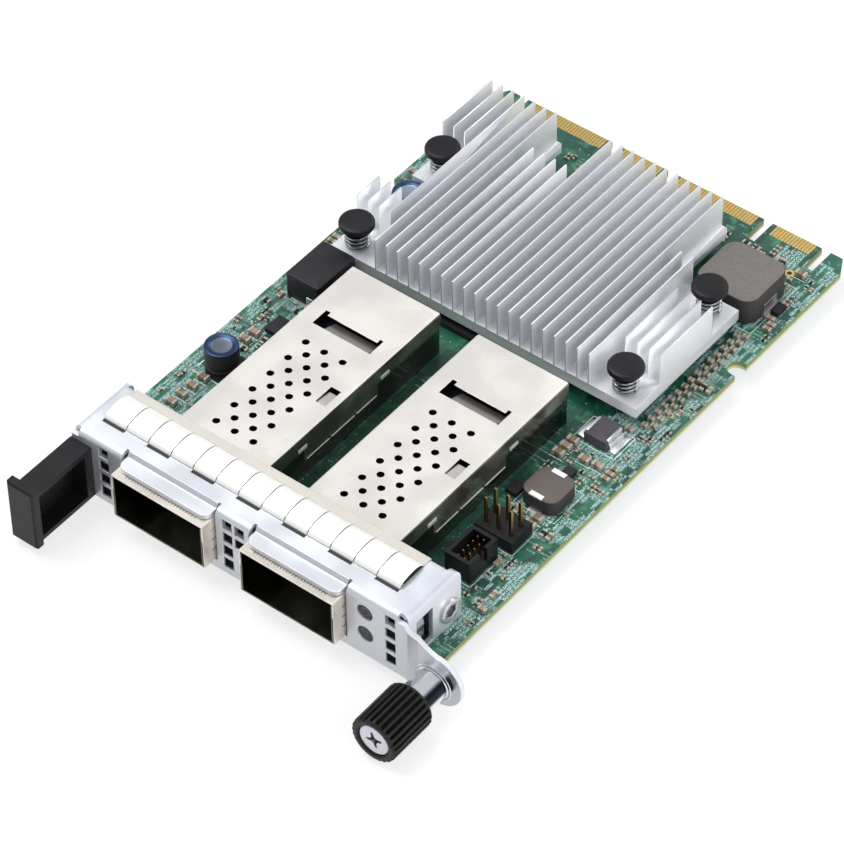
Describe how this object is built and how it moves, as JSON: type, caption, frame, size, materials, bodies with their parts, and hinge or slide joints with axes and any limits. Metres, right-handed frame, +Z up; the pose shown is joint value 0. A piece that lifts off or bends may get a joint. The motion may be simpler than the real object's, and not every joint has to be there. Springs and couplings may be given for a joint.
{
  "type": "mezzanine network card",
  "caption": "Mezzanine network card with two module cages, finned heat sink, slotted faceplate, pull tab and captive thumbscrew.",
  "frame": {"origin": "middle of the gold edge, at the board's component side", "axes": "+X along the faceplate towards the thumbscrew, +Y out of the gold edge in the direction of insertion, +Z up from the component side"},
  "size_m": [0.0829, 0.1347, 0.0173],
  "materials": {
    "board_laminate": "green solder mask",
    "gold": "gold plate",
    "plate_steel": "satin nickel plate",
    "finger_strip": "pale plated spring sheet",
    "cage_steel": "satin nickel plate",
    "sink_aluminium": "satin extruded",
    "black_plastic": "moulded",
    "screw_steel": "turned",
    "bright_steel": "polished plate",
    "spring_steel": "drawn wire",
    "chip_black": "moulded",
    "pad_grey": "soft pad",
    "clear_plastic": "clear moulded",
    "can_blue": "blue coated can",
    "coil_grey": "pressed powder",
    "coil_brown": "pressed powder",
    "tin": "tinned",
    "ceramic_tan": "fired"
  },
  "bodies": {
    "card": {"box_header": "black_plastic", "box_header_pins": "gold", "can_capacitors": "can_blue", "capacitor_bases": "black_plastic", "ceramic_capacitors": "ceramic_tan", "circuit_board": "board_laminate", "corner_blocks": "tin", "edge_contacts": "gold", "emi_finger_strip": "finger_strip", "faceplate": "plate_steel", "header_pins": "gold", "heat_sink": "sink_aluminium", "inductor_terminals": "tin", "large_inductor": "coil_grey", "left_cage_collar": "cage_steel", "left_cage_cover": "cage_steel", "left_cage_tub": "cage_steel", "left_module_connector": "black_plastic", "light_pipes": "clear_plastic", "main_chip": "chip_black", "pin_header": "black_plastic", "pin_springs": "spring_steel", "power_leads": "tin", "power_package": "chip_black", "pull_tab": "black_plastic", "push_pins": "black_plastic", "right_cage_collar": "cage_steel", "right_cage_cover": "cage_steel", "right_cage_tub": "cage_steel", "right_module_connector": "black_plastic", "row_capacitors": "ceramic_tan", "side_ground_clips": "spring_steel", "side_screws": "screw_steel", "small_chips": "chip_black", "small_inductor": "coil_brown", "square_inductor": "chip_black", "tab_screws": "screw_steel", "thermal_pad": "pad_grey", "thumbscrew_ferrule": "bright_steel", "thumbscrew_spring": "spring_steel", "underside_capacitors": "ceramic_tan"},
    "screw_slider": {"retaining_ring": "spring_steel"},
    "screw_body": {"thumbscrew": "screw_steel", "thumbscrew_knob": "black_plastic"}
  },
  "joints": [
    {"name": "thumbscrew_press", "type": "slide", "parent": "card", "child": "screw_slider", "axis": [0, 1, 0], "range_m": [0, 0.0045], "stiffness_N_per_m": 400, "springref_m": -0.003, "deforming": ["thumbscrew_spring"]},
    {"name": "thumbscrew_turn", "type": "hinge", "parent": "screw_slider", "child": "screw_body", "pos_m": [0.0398, -0.125, 0.0004], "axis": [0, 1, 0], "continuous": true}
  ]
}
